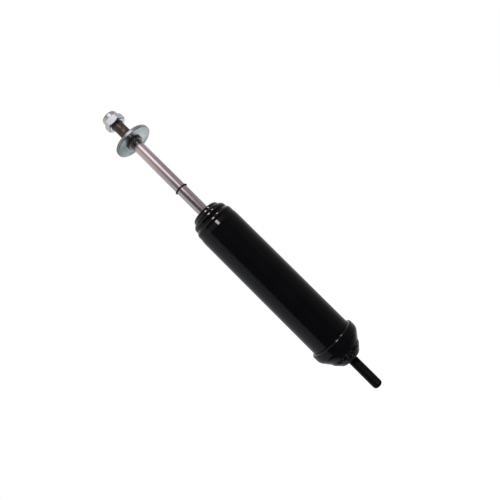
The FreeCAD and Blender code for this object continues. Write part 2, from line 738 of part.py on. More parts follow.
def coil_spring(label, radius, wire, foot, length, turns):
    """A wire swept along a helix; its first and last turns touch the seats."""
    room = f"({length} - {wire} - 2 * seat_gap)"
    helix = doc.addObject("Part::Helix", f"{label}_line")
    helix.setExpression("Radius", bound(radius))
    helix.setExpression("Height", bound(room))
    helix.setExpression("Pitch", bound(f"{room} / {turns}"))
    start = f"{foot} + {wire} / 2 + seat_gap"
    helix.setExpression("Placement.Base.z", bound(start))
    helix.SegmentLength = 0.5
    section = doc.addObject("Part::Circle", f"{label}_wire")
    section.setExpression("Radius", bound(f"{wire} / 2"))
    section.Placement.Rotation = FreeCAD.Rotation(FreeCAD.Vector(1, 0, 0), 90)
    section.setExpression("Placement.Base.x", bound(radius))
    section.setExpression("Placement.Base.z", bound(start))
    piece = doc.addObject("Part::Sweep", label)
    piece.Label = label
    piece.Sections = [section]
    doc.recompute()
    piece.Spine = (helix, [f"Edge{i + 1}" for i in range(len(helix.Shape.Edges))])
    piece.Solid = True
    piece.Frenet = True
    parts.append(piece)
    doc.recompute()


def make_piston_nut():
    body = new_body("piston_nut")
    hex_top = "piston_nut_foot + piston_nut_height"
    hexagon(body, "hexagon", "piston_nut_flats", "piston_nut_foot", "piston_nut_height")
    turn(body, "sleeve", [
        ("0", hex_top),
        ("spring_outside + 1", hex_top),
        ("spring_outside + 1", "spring_foot"),
        ("sleeve_radius", "spring_foot"),
        ("sleeve_radius", "seat_top"),
        ("0", "seat_top"),
    ])
    cut(body, "bore", [
        ("0", "piston_nut_foot - 1"),
        ("pin_fit", "piston_nut_foot - 1"),
        ("pin_fit", "seat_top + 1"),
        ("0", "seat_top + 1"),
    ])


def make_foot_valve():
    body = new_body("base_valve")
    spigot = "bore_radius - fit"
    turn(body, "body", [
        ("bolt + fit", "valve_deck"),
        ("cylinder_radius - valve_foot_wall", "valve_deck"),
        ("cylinder_radius - valve_foot_wall", "cup_top_of_floor + seat_gap"),
        ("cylinder_radius", "cup_top_of_floor + seat_gap"),
        ("cylinder_radius", "valve_deck + valve_plate"),
        (spigot, "valve_deck + valve_plate"),
        (spigot, "valve_face"),
        ("valve_hub / 2", "valve_face"),
        ("valve_hub / 2", "hub_face"),
        ("bolt + fit", "hub_face"),
    ])
    slots(body, "leg_gap", "cylinder_radius - valve_foot_wall - 1", "cylinder_radius + 1", "valve_notch",
          "valve_notches", "valve_deck", "valve_foot + 1")
    depth = "valve_plate + valve_spigot"
    ports(body, "foot_port", "foot_circle", "foot_port", "intake_ports", "valve_face", depth)
    ports(body, "bleed_port", "bleed_circle", "bleed_port", "bleed_ports", "valve_face", depth)
    ring("base_discs", "bolt + fit", "(bleed_circle + bleed_port) / 2 + disc_land",
         "foot_discs_foot", "foot_discs_top")
    ring("base_check_plate", "foot_plate_inner", "foot_plate_outer",
         "valve_face + seat_gap", "foot_plate_top")
    star_spring("base_check_spring", "bolt + fit", "valve_hub / 2 + star_hub",
                "foot_plate_outer - plate_land", "foot_plate_top + seat_gap",
                "hub_face + seat_gap + star_thickness")
    make_foot_bolt()


def make_foot_bolt():
    body = new_body("base_bolt")
    clench_top = "foot_discs_foot - seat_gap"
    turn(body, "bolt", [
        ("0", f"{clench_top} - bolt_clench_height"),
        ("bolt_clench / 2", f"{clench_top} - bolt_clench_height"),
        ("bolt_clench / 2", clench_top),
        ("bolt", clench_top),
        ("bolt", "bolt_seat"),
        ("bolt_head / 2", "bolt_seat"),
        ("bolt_head / 2", "bolt_seat + bolt_head_height"),
        ("0", "bolt_seat + bolt_head_height"),
    ])


def check_and_write():
    """Stops at the first failed object, then writes one file for each piece."""
    doc.recompute()
    for item in doc.Objects:
        if "Invalid" in item.State or "Error" in item.State:
            raise ValueError(f"{item.Name}: {item.State}")
    for part in parts:
        shape = part.Shape
        if shape.isNull() or not shape.isValid() or len(shape.Solids) != 1:
            raise ValueError(f"{part.Label}: not one valid solid")
    os.makedirs("parts", exist_ok=True)
    for part in parts:
        part.Shape.exportStep(f"parts/{part.Label}.step")
        box = part.Shape.BoundBox
        print(f"{part.Label:18s} {part.Shape.Volume:10.1f} mm3   z {box.ZMin:8.2f} to {box.ZMax:8.2f}")


make_reserve_tube()
make_seal_cap()
make_rod_wiper()
make_seal_stack()
make_rod_guide()
make_pressure_tube()
make_base_cup()
make_stud_retainer()
make_lower_stud()
make_piston_rod()
make_upper_hardware()
make_lock_nut()
make_buffer()
make_piston()
make_intake_valve()
make_rebound_valve()
make_foot_valve()
check_and_write()
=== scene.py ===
# %% [markdown]
# # A cab shock absorber
# The telescopic damper of a driver's cab: a gloss black tube, a chromed rod that slides out of it, and
# a threaded stud at each end with its washer and lock nut. The exact solids come first, as a frame in
# metres with every piece in its place. This lesson dresses them: each piece that shows is modelled again
# with the detail of the real one, and everything gets the finish of its real material.

# %% Load the frame
import json
import math

import bmesh
import bpy
from mathutils import Matrix, Vector


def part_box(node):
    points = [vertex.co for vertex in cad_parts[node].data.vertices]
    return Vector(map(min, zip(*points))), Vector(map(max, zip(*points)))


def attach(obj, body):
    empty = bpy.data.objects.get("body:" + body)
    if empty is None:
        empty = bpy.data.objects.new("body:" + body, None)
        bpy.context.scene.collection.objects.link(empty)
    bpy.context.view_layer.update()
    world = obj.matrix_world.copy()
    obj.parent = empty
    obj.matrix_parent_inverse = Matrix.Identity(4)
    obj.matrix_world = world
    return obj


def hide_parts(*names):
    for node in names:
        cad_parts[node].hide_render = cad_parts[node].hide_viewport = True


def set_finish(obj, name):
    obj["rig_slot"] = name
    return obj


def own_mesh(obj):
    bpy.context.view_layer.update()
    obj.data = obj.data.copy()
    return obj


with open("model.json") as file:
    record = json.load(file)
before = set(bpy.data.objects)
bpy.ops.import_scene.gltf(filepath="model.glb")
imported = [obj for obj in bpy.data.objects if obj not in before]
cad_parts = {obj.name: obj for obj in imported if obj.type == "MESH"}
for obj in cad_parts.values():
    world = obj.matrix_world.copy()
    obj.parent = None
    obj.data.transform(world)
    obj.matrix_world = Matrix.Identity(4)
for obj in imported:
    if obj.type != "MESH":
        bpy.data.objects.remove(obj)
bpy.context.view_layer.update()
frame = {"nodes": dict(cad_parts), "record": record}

MM = 0.001

# Sizes that several pieces share, in millimetres.
ROD_RADIUS = 7.0
FIT = 0.05  # on the radius, between pieces that fit or run in each other
SEAT_GAP = 0.02  # between faces that are pressed together
EDGE = 0.3  # rounding of a broken edge


def foot(node):
    """Height of the underside of a node, in millimetres."""
    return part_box(node)[0][2] / MM


def top(node):
    """Height of the top of a node, in millimetres."""
    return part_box(node)[1][2] / MM


def reach(node):
    """Greatest radius of a round node, in millimetres."""
    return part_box(node)[1][1] / MM


print("from stud end to nut:", round(foot("lower_stud"), 2), "to", round(top("lock_nut"), 2), "mm")

# %% [markdown]
# ## Camera
# The photograph looks at the damper lying across the frame, with the rod end at the upper left and
# the lower stud at the lower right and a little nearer. A camera could be placed by eye, but it is
# surer to write down how the damper's three axes run in the picture and to turn that round: what the
# camera sees of the axes gives where the camera is.

# %% Camera
FRAME = 500.0  # width of the photograph in pixels
FOCAL = 435.0  # focal length in the same pixels
PIXEL = 1.15  # millimetres that a pixel covers at the middle of the damper
SENSOR = 36.0  # width of the sensor in millimetres
NEAREST = 0.01  # metres to the nearest thing that the camera shows
TILT = math.radians(4.4)  # how far the rod end leans away
ROD_X, ROD_Y = -0.70955, 0.70466  # the way that the rod points in the picture
MIDDLE = 166.0  # a height on the axis, in millimetres
MIDDLE_X, MIDDLE_Y = 246.32, 253.70  # the pixel where the photograph shows it
distance = FOCAL * PIXEL * MM
up_rod = Vector((ROD_X * math.cos(TILT), ROD_Y * math.cos(TILT), -math.sin(TILT)))
ahead = Vector((0.0, 0.0, -1.0))
away = (ahead - up_rod * ahead.dot(up_rod)).normalized()
across = away.cross(up_rod)
axes = Matrix((across, away, up_rod)).transposed()
middle = Vector((0.0, 0.0, MIDDLE * MM))
seen = Vector(((MIDDLE_X - FRAME / 2) / FOCAL, (FRAME / 2 - MIDDLE_Y) / FOCAL, -1.0)) * distance
offset = seen - axes @ middle

bpy.ops.object.select_all(action="DESELECT")
bpy.ops.object.camera_add()
camera = bpy.context.object
camera.name = "photo_camera"
camera.data.sensor_width = SENSOR
camera.data.lens = FOCAL / FRAME * SENSOR
camera.data.clip_start = NEAREST
camera.matrix_world = Matrix.Translation(-(axes.transposed() @ offset)) @ axes.transposed().to_4x4()
bpy.context.scene.camera = camera
bpy.context.scene.view_settings.view_transform = "Standard"
print("camera at", [round(c, 3) for c in camera.matrix_world.translation], "lens", round(camera.data.lens, 1))

# %% [markdown]
# ## Colours and nodes
# Colours are picked as hex values, the way a paint chart or a colour picker gives them. Blender mixes
# light in linear values, so one function turns the first into the second. Another small one adds a
# node and fills in its sockets, so that a material reads as a short list of what feeds what.

# %% Colour and node helpers


def colour(code):
    """Linear colour from a hex code such as 8fa3a6."""
    levels = [int(code[i:i + 2], 16) / 255 for i in (0, 2, 4)]
    return [c / 12.92 if c <= 0.04045 else ((c + 0.055) / 1.055) ** 2.4 for c in levels] + [1.0]


def add_node(tree, kind, sockets=(), **settings):
    """Adds a node; a socket is given a value or the output that feeds it."""
    made = tree.nodes.new(kind)
    for name, value in settings.items():
        setattr(made, name, value)
    for name, value in dict(sockets).items():
        if isinstance(value, bpy.types.NodeSocket):
            tree.links.new(value, made.inputs[name])
        else:
            made.inputs[name].default_value = value
    return made


def add_ramp(tree, factor, stops):
    """A colour ramp: stops are (place, hex code)."""
    ramp = add_node(tree, "ShaderNodeValToRGB", {"Fac": factor})
    marks = ramp.color_ramp.elements
    while len(marks) < len(stops):
        marks.new(1.0)
    for mark, (place, code) in zip(marks, stops):
        mark.position = place
        mark.color = colour(code)
    return ramp.outputs["Color"]


print("gloss black as linear:", [round(c, 4) for c in colour("0b0b0d")])

# %% [markdown]
# ## The room that the gloss mirrors
# Gloss paint and chrome have hardly a colour of their own: they show the room. The photograph has a
# white ground, and its mirror images tell the rest: dark towards the camera and to the right, a grey
# wall with a sharp edge to the left, white behind, and paler walls higher up. A picture of a room could
# be loaded as the world, but five colour ramps over the compass direction, one for each layer from
# straight below to the ceiling, draw it in a few lines and can be changed one by one. Camera and
# transmission rays see plain white, so the ground is white without any added light.

# %% Directions in the room
MIX_FIRST, MIX_SECOND, MIXED = 6, 7, 2  # sockets of a mix node that hold colours
world = bpy.data.worlds.new("studio")
bpy.context.scene.world = world
world.use_nodes = True
room = world.node_tree
room.nodes.clear()
rays = add_node(room, "ShaderNodeLightPath")
way = add_node(room, "ShaderNodeTexCoord").outputs["Generated"]
part = add_node(room, "ShaderNodeSeparateXYZ", {"Vector": way})
towards = add_node(room, "ShaderNodeMath", {0: part.outputs["Y"], 1: -1.0}, operation="MULTIPLY")
compass = add_node(room, "ShaderNodeMath", {0: part.outputs["X"], 1: towards.outputs[0]}, operation="ARCTAN2")
place = add_node(room, "ShaderNodeMapRange", {
    "Value": compass.outputs[0], "From Min": -math.pi, "From Max": math.pi, "To Min": 0.0, "To Max": 1.0})


def layer(*stops):
    """Colours all round at one height: stops are (degrees to the right of the camera, hex code)."""
    return add_ramp(room, place.outputs[0], [(0.5 + degrees / 360.0, code) for degrees, code in stops])


def by_height(low, high):
    """Goes from 0 to 1 between two heights above the horizon, in degrees."""
    limits = {"From Min": math.sin(math.radians(low)), "From Max": math.sin(math.radians(high))}
    rise = add_node(room, "ShaderNodeMapRange", {"Value": part.outputs["Z"], **limits},
                    interpolation_type="SMOOTHSTEP")
    return rise.outputs[0]


def blend(factor, first, second):
    """Mixes two colours."""
    mix = add_node(room, "ShaderNodeMix", {0: factor}, data_type="RGBA")
    room.links.new(first, mix.inputs[MIX_FIRST])
    room.links.new(second, mix.inputs[MIX_SECOND])
    return mix.outputs[MIXED]


print("room:", len(room.nodes), "nodes for the direction")

# %% Layers of the room
ground = layer(
    (-180, "d4d6d8"), (-150, "9c9ea2"), (-130, "85878d"), (-104, "3a3a3e"), (0, "302c30"),
    (84, "363438"), (120, "464448"), (150, "8a8a8c"), (180, "d4d6d8"))
low_room = layer(
    (-180, "ffffff"), (-165, "c8cacc"), (-146, "b2b3b5"), (-84, "9c9ea4"), (-54, "88898f"),
    (-50, "3a3a3e"), (-20, "323236"), (0, "3a363a"), (42, "3c3236"), (59, "504c4e"),
    (77, "525052"), (105, "747273"), (146, "b0b0b0"), (165, "d8d8d8"), (180, "ffffff"))
high_room = layer(
    (-180, "ffffff"), (-119, "e0dcd8"), (-51, "e4d6cc"), (-20, "c4b2ae"), (10, "c4b4b6"),
    (62, "c8bac2"), (82, "aea2a9"), (102, "bab6ba"), (125, "dcdce4"), (180, "ffffff"))
ceiling = layer(
    (-180, "96969a"), (-84, "74767c"), (-40, "5e5a5c"), (0, "4c4648"), (60, "545052"),
    (110, "605e62"), (180, "96969a"))
nadir = layer((-180, "34343a"), (180, "302c30"))
walls = blend(by_height(18, 25), low_room, high_room)
walls = blend(by_height(34, 50), walls, ceiling)
walls = blend(by_height(-44, -34), ground, walls)
walls = blend(by_height(-74, -62), nadir, walls)
print("room:", len(room.nodes), "nodes with its five layers")

# %% What each ray sees
MATT_LIGHT = 0.62  # level of the even light on matt surfaces
mirrored = add_node(room, "ShaderNodeBackground", {"Color": walls, "Strength": 1.0})
soft = add_node(room, "ShaderNodeBackground", {"Color": colour("e9eaec"), "Strength": MATT_LIGHT})
white = add_node(room, "ShaderNodeBackground", {"Color": colour("ffffff"), "Strength": 1.0})
plain = add_node(room, "ShaderNodeMath", {
    0: rays.outputs["Is Camera Ray"], 1: rays.outputs["Is Transmission Ray"]}, operation="MAXIMUM")
on_object = add_node(room, "ShaderNodeMixShader", {
    0: rays.outputs["Is Glossy Ray"], 1: soft.outputs[0], 2: mirrored.outputs[0]})
all_rays = add_node(room, "ShaderNodeMixShader", {
    0: plain.outputs[0], 1: on_object.outputs[0], 2: white.outputs[0]})
add_node(room, "ShaderNodeOutputWorld", {"Surface": all_rays.outputs[0]})
print("world:", len(room.nodes), "nodes")

# %% [markdown]
# ## Lamps and floor
# Two tall softboxes stand at the front right, above the camera. They put the small lights on the
# shoulders of the cap and the rim of the cup. Chrome and zinc mirror many times as much light as black
# paint does, so a lamp that suits the paint would burn out the rod. The bright metal gets four dimmer
# cards instead: a wide one in front, which draws the streak along the rod, one low, and one on either
# side. The floor lies well below, since the damper is held by its stud, and it is pale and mostly
# self-lit for the camera, so it runs into the white ground and still takes a shadow.

# %% Softboxes
LAMP_DISTANCE = 1.3  # metres from the cap
AIM = Vector((0.0, 0.0, 0.22))  # the cap


def softbox(name, bearing, height, width, tall, radiance, tint):
    """An area lamp, given by its direction from the cap in degrees, its size in metres and its radiance."""
    bearing, height = math.radians(bearing), math.radians(height)
    sideways = math.cos(height)
    out = Vector((math.sin(bearing) * sideways, -math.cos(bearing) * sideways, math.sin(height)))
    bpy.ops.object.light_add(type="AREA", location=AIM + out * LAMP_DISTANCE)
    lamp = bpy.context.object
    lamp.name = name
    lamp.rotation_euler = out.to_track_quat("Z", "Y").to_euler()
    lamp.data.shape = "RECTANGLE"
    lamp.data.size = width
    lamp.data.size_y = tall
    lamp.data.energy = radiance * math.pi * width * tall
    lamp.data.color = colour(tint)[:3]
    print(name, round(lamp.data.energy, 2), "W")
    return lamp


front = softbox("softbox_front", bearing=11, height=31, width=0.28, tall=0.54, radiance=13.0, tint="fff4f2")
right = softbox("softbox_right", bearing=54, height=46, width=0.14, tall=0.36, radiance=16.0, tint="ffffff")
cards = [
    softbox("card_front", bearing=18, height=31, width=0.80, tall=0.60, radiance=1.25, tint="f6f0fa"),
    softbox("card_low", bearing=30, height=-20, width=0.24, tall=0.16, radiance=6.0, tint="eef6ff"),
    softbox("card_left", bearing=-88, height=17, width=1.38, tall=0.26, radiance=0.27, tint="fffaf6"),
    softbox("card_right", bearing=80, height=18, width=1.9, tall=0.28, radiance=0.28, tint="ffe8de"),
]

# %% Floor
FLOOR_SIZE, FLOOR_HEIGHT = 12.0, -0.32  # metres
SELF_LIT = 0.6  # level of its own light, for the camera alone
bpy.ops.object.select_all(action="DESELECT")
bpy.ops.mesh.primitive_plane_add(size=FLOOR_SIZE, location=(0.0, 0.0, FLOOR_HEIGHT))
floor = bpy.context.object
floor.name = "floor"
# Matt white paper: a ground without an edge that takes a soft shadow.
paper = bpy.data.materials.new("white_paper_floor")
paper.use_nodes = True
sheet = paper.node_tree
sheet.nodes.clear()
rays = add_node(sheet, "ShaderNodeLightPath")
lit = add_node(sheet, "ShaderNodeBsdfDiffuse", {"Color": colour("f2f2f2")})
level = add_node(sheet, "ShaderNodeMath", {
    0: rays.outputs["Is Camera Ray"], 1: SELF_LIT}, operation="MULTIPLY")
glow = add_node(sheet, "ShaderNodeEmission", {"Color": colour("ffffff"), "Strength": level.outputs[0]})
both = add_node(sheet, "ShaderNodeAddShader", {0: lit.outputs[0], 1: glow.outputs[0]})
add_node(sheet, "ShaderNodeOutputMaterial", {"Surface": both.outputs[0]})
floor.data.materials.append(paper)
floor.visible_glossy = False
print("floor at", round(FLOOR_HEIGHT / MM), "mm")

# %% [markdown]
# ## Turning a piece
# Nearly every piece here was turned on a lathe, spun or pressed round one axis. The same goes for the
# model: a point is extruded from corner to corner along half of the section, some corners are bevelled
# into roundings, and the line is spun round the axis. A modifier could do the spinning, but the spin
# tool leaves a plain closed mesh at once.

# %% Section helpers
SAME_PLACE = 2e-6  # metres
ROUNDING_STEP = 0.16  # turn from one facet of a rounding to the next, in radians
FEWEST_FACETS = 3


def pick(piece, wanted):
    """Selects the vertices at some places, in edit mode."""
    shape = bmesh.from_edit_mesh(piece.data)
    for vertex in shape.verts:
        vertex.select = any((vertex.co - spot).length < SAME_PLACE for spot in wanted)
    shape.select_flush_mode()
    bmesh.update_edit_mesh(piece.data)


def draw_section(name, corners):
    """Extrudes a single point from corner to corner; corners are (radius, height, ...) in millimetres."""
    bpy.ops.object.select_all(action="DESELECT")
    bpy.ops.mesh.primitive_plane_add(size=MM)
    piece = bpy.context.object
    piece.name = name
    bpy.ops.object.mode_set(mode="EDIT")
    bpy.ops.mesh.select_all(action="SELECT")
    bpy.ops.mesh.merge(type="CENTER")
    places = [Vector((corner[0] * MM, 0.0, corner[1] * MM)) for corner in corners]
    bpy.ops.transform.translate(value=places[0])
    for before, after in zip(places, places[1:]):
        bpy.ops.mesh.extrude_region_move(TRANSFORM_OT_translate={"value": after - before})
    return piece, places


def round_corners(piece, places, corners, closed):
    """Bevels each corner that has a third number, its rounding in millimetres."""
    last = len(corners) - 1
    for i, corner in enumerate(corners):
        if len(corner) < 3 or (not closed and i in (0, last)):
            continue
        back = (places[i - 1] - places[i]).normalized()
        forth = (places[(i + 1) % len(places)] - places[i]).normalized()
        half = back.angle(forth) / 2
        facets = max(FEWEST_FACETS, round((math.pi - 2 * half) / ROUNDING_STEP))
        pick(piece, [places[i]])
        bpy.ops.mesh.bevel(offset=corner[2] * MM / math.tan(half), offset_type="OFFSET",
                           segments=facets, affect="VERTICES")


def arc(radius, height, size, start, end, count):
    """Corners along an arc of the section, centred at (radius, height), in degrees from outward."""
    angles = [math.radians(start + (end - start) * i / count) for i in range(count + 1)]
    return [(radius + size * math.cos(a), height + size * math.sin(a)) for a in angles]


print("a right angle is rounded with", round(math.pi / 2 / ROUNDING_STEP), "facets")

# %% Lathe helpers
PLAIN, WIDE, NARROW, THREADED = 128, 160, 96, 72  # steps round the axis
MERGE = 1e-6  # metres
TURNED_SHARP = math.radians(32)  # edges that turn more than this stay sharp


def close_skin(merge, sharp, dissolve=False):
    """Merges the points of the active piece, turns its faces outwards and shades it smooth."""
    bpy.ops.object.mode_set(mode="EDIT")
    bpy.ops.mesh.select_all(action="SELECT")
    bpy.ops.mesh.remove_doubles(threshold=merge)
    if dissolve:
        bpy.ops.mesh.dissolve_degenerate(threshold=merge)
    bpy.ops.mesh.normals_make_consistent(inside=False)
    bpy.ops.object.mode_set(mode="OBJECT")
    bpy.ops.object.shade_smooth_by_angle(angle=sharp)


def turned(name, corners, steps=PLAIN):
    """Spins a section into a closed piece; a section that ends on the axis is left open there."""
    closed = corners[0][0] > 0
    piece, places = draw_section(name, corners)
    if closed:
        pick(piece, [places[0], places[-1]])
        bpy.ops.mesh.edge_face_add()
    round_corners(piece, places, corners, closed)
    bpy.ops.mesh.select_all(action="SELECT")
    bpy.ops.mesh.spin(steps=steps, angle=2 * math.pi, center=(0, 0, 0), axis=(0, 0, 1))
    close_skin(MERGE, TURNED_SHARP)
    return piece


def make_active(piece):
    """Selects one piece alone."""
    bpy.ops.object.select_all(action="DESELECT")
    piece.select_set(True)
    bpy.context.view_layer.objects.active = piece


def settle(piece, body, node, slot):
    """Puts a finished piece on its body, in the place of its node."""
    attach(piece, body)
    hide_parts(node)
    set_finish(piece, slot)
    print(piece.name, len(piece.data.polygons), "faces")


print("steps round the axis:", THREADED, "to", WIDE)

# %% [markdown]
# ## The reserve tube
# The outer tube is a drawn steel tube. Its upper end is swaged a little narrower, and then spun inwards
# over the flange of the cap in a round shoulder that ends in a sharp lip. The shoulder is drawn as two
# arcs from one centre, so the sheet keeps its thickness round the bend.

# %% Reserve tube
TUBE_WALL = 2.0
CROWN = 8.0  # above the foot of the cap
SWAGE = 0.7  # by how much the neck is narrower, on the radius
SWAGE_START, SWAGE_END, SWAGE_ROUND = 15.0, 8.5, 15.0  # below the crown, and the rounding of both
SHOULDER = 6.1  # outer radius of the bend
LIP_OVERLAP = 0.25  # of the lip over the flange of the cap
OUTER_STEPS, INNER_STEPS = 12, 5  # along the two arcs of the bend
crown = foot("seal_cap") + CROWN
tube_foot, tube_radius = foot("reserve_tube"), reach("reserve_tube")
tube_bore = tube_radius - TUBE_WALL
neck = tube_radius - SWAGE
bend, bend_height = neck - SHOULDER, crown - SHOULDER
inner_shoulder = SHOULDER - TUBE_WALL
lip_end = reach("seal_cap") - LIP_OVERLAP
outer_stop = math.degrees(math.acos((lip_end - bend) / SHOULDER))
inner_stop = math.degrees(math.acos((lip_end - bend) / inner_shoulder))
tube = turned("outer_tube", [
    (tube_bore, tube_foot), (tube_radius, tube_foot, EDGE),
    (tube_radius, crown - SWAGE_START, SWAGE_ROUND), (neck, crown - SWAGE_END, SWAGE_ROUND)]
    + arc(bend, bend_height, SHOULDER, 0, outer_stop, OUTER_STEPS)
    + arc(bend, bend_height, inner_shoulder, inner_stop, 0, INNER_STEPS)
    + [(neck - TUBE_WALL, crown - SWAGE_END), (tube_bore, crown - SWAGE_START)], WIDE)
settle(tube, "tube_assembly", "reserve_tube", "gloss_black_paint")

# %% [markdown]
# ## The seal cap and wiper
# A pressed cap in two tiers closes the tube over the seals, and the rubber lip of the wiper stands up
# round the rod in its mouth. The lower shoulder is a wide arc that the wall of the upper tier cuts
# short, so it is drawn with the arc helper; the upper shoulder is a bevelled corner.

# %% Seal cap
CAP_WALL = 2.2
FLANGE, FLANGE_HEIGHT = 0.3, 2.5
LOWER_ROUND, LOWER_STEPS, UPPER_ROUND = 6.0, 12, 3.0  # of the two shoulders
TIER_HEIGHT, TIER_STEP, TIER_SLOPE = 4.5, 4.45, 1.5  # of the upper tier
INNER_CHAMFER = 1.2
MOUTH, MOUTH_EDGE = 10.0, 0.4
cap_foot, cap_top = foot("seal_cap"), top("seal_cap")
under_top = cap_top - CAP_WALL
wall = reach("seal_cap") - FLANGE
cap_bore = wall - CAP_WALL
tier = wall - TIER_STEP
tier_bore = tier - CAP_WALL
shoulder = cap_top - TIER_HEIGHT
under_shoulder = shoulder - CAP_WALL
stop = math.degrees(math.acos((LOWER_ROUND - TIER_STEP) / LOWER_ROUND))
cap = turned("seal_cap_shell", [
    (cap_bore, cap_foot), (wall + FLANGE, cap_foot), (wall + FLANGE, cap_foot + FLANGE_HEIGHT),
    (wall, cap_foot + FLANGE_HEIGHT)]
    + arc(wall - LOWER_ROUND, shoulder - LOWER_ROUND, LOWER_ROUND, 0, stop, LOWER_STEPS)
    + [(tier, shoulder), (tier - TIER_SLOPE, cap_top, UPPER_ROUND), (MOUTH, cap_top, MOUTH_EDGE),
       (MOUTH, under_top), (tier_bore, under_top), (tier_bore, under_shoulder),
       (cap_bore - INNER_CHAMFER, under_shoulder), (cap_bore, under_shoulder - INNER_CHAMFER)], WIDE)
settle(cap, "tube_assembly", "seal_cap", "gloss_black_paint")

# %% Wiper
WIPER_FLANGE, WIPER_LIP = 16.25, 1.0
wiper_foot, wiper_top = foot("rod_wiper"), top("rod_wiper")
wiper_bore, wiper_neck = ROD_RADIUS + FIT, MOUTH - FIT
flange_top = under_top - SEAT_GAP
wiper = turned("wiper_lip", [
    (wiper_bore, wiper_foot), (WIPER_FLANGE, wiper_foot), (WIPER_FLANGE, flange_top),
    (wiper_neck, flange_top), (wiper_neck, cap_top - FIT, EDGE), (wiper_bore + WIPER_LIP, wiper_top, EDGE),
    (wiper_bore, wiper_top)])
settle(wiper, "tube_assembly", "rod_wiper", "seal_rubber")

# %% [markdown]
# ## The base cup and the stud retainer
# The foot of the tube stands in a pressed cup with a thick rim, and a forged retainer under it holds the
# head of the lower stud. Both are plain turned shapes. The rim and the top edge of the retainer are
# broken with small roundings, because these catch the light as fine bright lines.

# %% Base cup
CUP_FLOOR, FLOOR_REACH = 3.0, 18.0
CUP_BASE, CUP_BASE_EDGE = 22.0, 0.8
CONE_HEIGHT, CONE_ROUND = 9.6, 9.0
RIM_ROUND, RIM_EDGE = 2.4, 0.5
cup_foot, rim, skirt = foot("base_cup"), top("base_cup"), reach("base_cup")
pocket, pocket_floor = tube_radius + FIT, tube_foot - SEAT_GAP
cup = turned("base_cup_pressing", [
    (0.0, cup_foot), (CUP_BASE, cup_foot, CUP_BASE_EDGE), (skirt, cup_foot + CONE_HEIGHT, CONE_ROUND),
    (skirt, rim, RIM_ROUND), (pocket, rim, RIM_EDGE), (pocket, pocket_floor), (tube_bore, pocket_floor),
    (FLOOR_REACH, cup_foot + CUP_FLOOR), (0.0, cup_foot + CUP_FLOOR)], WIDE)
settle(cup, "tube_assembly", "base_cup", "gloss_black_paint")

# %% Stud retainer
HEAD_RADIUS, HEAD_HEIGHT = 14.0, 4.5  # of the lower stud
SHANK = 6.25  # radius of the stud under its head
RETAINER_BASE, RETAINER_BASE_EDGE = 13.0, 1.5
BAND_HEIGHT, BAND_SLOPE, BAND_ROUND, BAND_EDGE = 4.28, 1.8, 4.3, 0.7
edge, band_top = reach("stud_retainer"), top("stud_retainer")
head_hole, shank_hole = HEAD_RADIUS + FIT, SHANK + FIT
head_seat = band_top - HEAD_HEIGHT - SEAT_GAP
retainer = turned("forged_retainer", [
    (shank_hole, 0.0), (RETAINER_BASE, 0.0, RETAINER_BASE_EDGE),
    (edge - BAND_SLOPE, band_top - BAND_HEIGHT, BAND_ROUND), (edge, band_top, BAND_EDGE),
    (head_hole, band_top), (head_hole, head_seat), (shank_hole, head_seat)], WIDE)
settle(retainer, "tube_assembly", "stud_retainer", "gloss_black_paint")

# %% [markdown]
# ## Threads
# A thread is one helical groove. It can be made with the Screw modifier, but its two ends are ragged
# and the mesh stays open. Here the stud is turned with many fine rings, and each point of its wall is
# then sunk by the depth that the groove has at its height and angle, so the mesh stays closed and the
# groove can fade out at both ends as it does under a real die. Both grooves are shallower than real ones.

# %% Thread helpers
RINGS_PER_PITCH = 10
CREST_FLAT, ROOT_FLAT = 1 / 8, 1 / 4  # shares of the pitch
WALL_BAND = 0.25  # how far inside the crest a point still belongs to the wall


def rings(radius, low, high, pitch):
    """Corners of a straight wall with ten rings to each pitch of the thread."""
    count = round((high - low) / pitch * RINGS_PER_PITCH)
    return [(radius, low + (high - low) * i / count) for i in range(count + 1)]


def cut_thread(piece, crest, pitch, depth, low, high):
    """Sinks a thread into the wall between two heights, all in millimetres."""
    for vertex in piece.data.vertices:
        x, y, z = vertex.co / MM
        radius = math.hypot(x, y)
        fade = min(1.0, (z - low) / pitch, (high - z) / pitch)
        if radius < crest - WALL_BAND or fade <= 0:
            continue
        from_root = abs((z / pitch - math.atan2(y, x) / (2 * math.pi)) % 1.0 - 0.5) * 2
        flank = (1 - CREST_FLAT - from_root) / (1 - CREST_FLAT - ROOT_FLAT)
        sunk = radius - depth * min(1.0, max(0.0, flank)) * fade
        vertex.co = Vector((x * sunk / radius, y * sunk / radius, z)) * MM
    piece.data.update()


print("thread: flat on", CREST_FLAT, "of the pitch at its crest and", ROOT_FLAT, "at its root")

# %% Lower stud
LOWER_CREST, LOWER_PITCH, LOWER_DEPTH = 6.0, 1.25, 0.5
LOWER_TIP_ROUND, HEAD_EDGE = 3.6, 0.5
RINGS_START, THREAD_START = 4.0, 1.5  # above the end of the stud
RINGS_END, THREAD_END, SHANK_CONE = -2.0, -1.6, -1.2  # heights under the seat
stud_end, head_top = foot("lower_stud"), top("lower_stud")
head_foot = head_top - HEAD_HEIGHT
lower = turned("lower_stud_thread", [
    (0.0, stud_end), (LOWER_CREST, stud_end, LOWER_TIP_ROUND)]
    + rings(LOWER_CREST, stud_end + RINGS_START, RINGS_END, LOWER_PITCH)
    + [(LOWER_CREST, SHANK_CONE), (SHANK, 0.0), (SHANK, head_foot), (HEAD_RADIUS, head_foot),
       (HEAD_RADIUS, head_top, HEAD_EDGE), (0.0, head_top)], THREADED)
cut_thread(lower, LOWER_CREST, LOWER_PITCH, LOWER_DEPTH, stud_end + THREAD_START, THREAD_END)
settle(lower, "tube_assembly", "lower_stud", "black_stud")

# %% [markdown]
# ## The rod and the upper stud
# One steel bar: a thin pin for the piston at the lower end, the chromed rod, and the threaded stud at the
# top. It is made as two pieces that meet in the groove under the washer, because the chrome stops there and
# the stud is bare dark steel.

